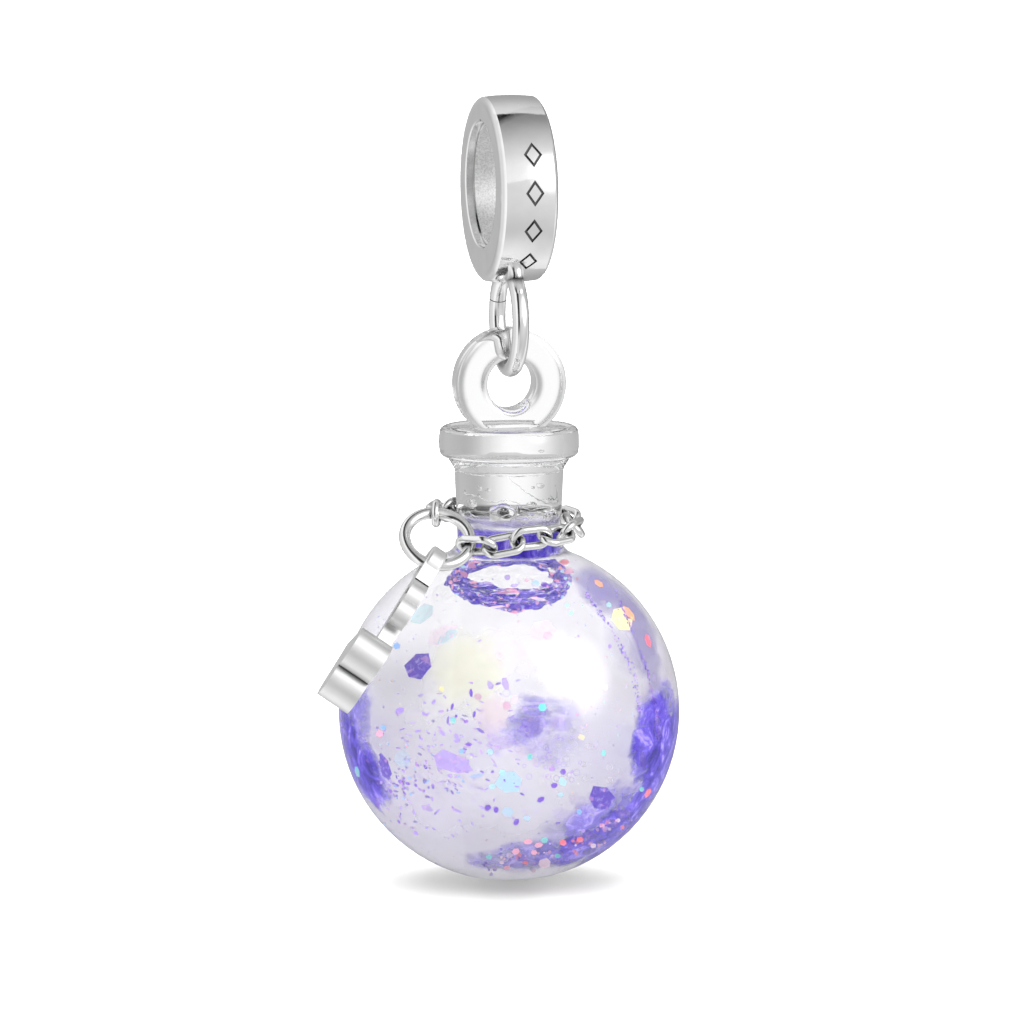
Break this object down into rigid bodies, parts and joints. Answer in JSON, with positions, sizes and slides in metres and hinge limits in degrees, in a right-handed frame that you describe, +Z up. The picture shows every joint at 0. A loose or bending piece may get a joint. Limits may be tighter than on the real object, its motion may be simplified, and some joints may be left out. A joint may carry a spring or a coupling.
{
  "type": "glass bottle charm",
  "caption": "Round glass bottle charm filled with glitter, hung from a silver bead by a ring, with a fine chain and a small music note at its neck.",
  "frame": {"origin": "centre of the bead's bore, where the charm is held", "axes": "+Z up, +X along the bore, +Y away from the viewer of the engraved side; the charm hangs along -Z"},
  "size_m": [0.0166, 0.0144, 0.0334],
  "materials": {
    "silver": "polished silver",
    "clear_glass": "clear, fire polished",
    "bottle_glass": "clear, fire polished",
    "glitter_liquid": "pale purple liquid with glitter"
  },
  "bodies": {
    "bail": {"bail": "silver"},
    "drop": {"glass_stopper": "clear_glass", "glass_bottle": "bottle_glass", "glitter_filling": "glitter_liquid", "chain_link_1": "silver", "chain_link_2": "silver", "chain_link_3": "silver", "chain_link_4": "silver", "chain_link_5": "silver", "chain_link_6": "silver", "chain_link_7": "silver", "chain_link_8": "silver", "chain_link_9": "silver", "chain_link_10": "silver", "chain_link_11": "silver", "chain_link_12": "silver", "chain_link_13": "silver", "chain_link_14": "silver", "charm_ring": "silver", "music_note": "silver"}
  },
  "joints": [
    {"name": "drop_swing", "type": "hinge", "parent": "bail", "child": "drop", "pos_m": [0, 0, -0.00787], "axis": [0, 1, 0], "range_deg": [-90, 90]}
  ]
}
